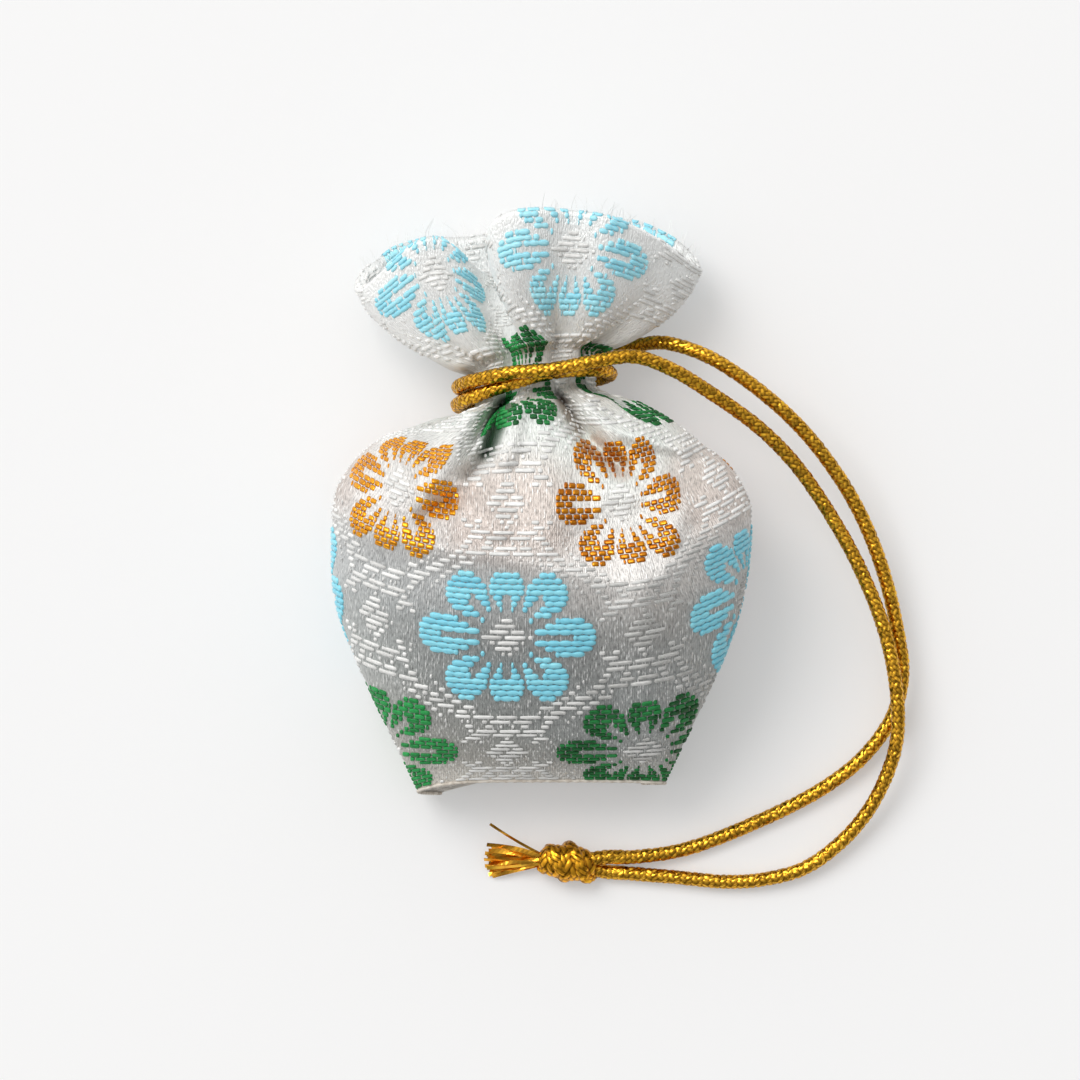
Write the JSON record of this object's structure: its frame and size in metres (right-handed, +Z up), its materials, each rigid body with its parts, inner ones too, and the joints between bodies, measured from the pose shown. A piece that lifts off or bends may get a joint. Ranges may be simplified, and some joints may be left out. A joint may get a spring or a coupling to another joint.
{
  "type": "drawstring pouch",
  "caption": "Small stuffed brocade drawstring pouch lying on its back, tied round its gathered neck with a gold braided cord that ends in a knot with frayed ends.",
  "frame": {"origin": "under the middle of the pouch, on the surface it lies on, cord left out", "axes": "+Y along the pouch from its base to its mouth, +Z up through its front, +X to its right as seen from the front"},
  "size_m": [0.062, 0.0728, 0.0264],
  "materials": {
    "brocade": "woven satin brocade with raised coloured flowers",
    "gold_braid": "braided flat metallic gold strip"
  },
  "bodies": {
    "root": {"pouch": "brocade", "drawstring": "gold_braid", "end_knot": "gold_braid", "frayed_ends": "gold_braid"}
  },
  "joints": []
}
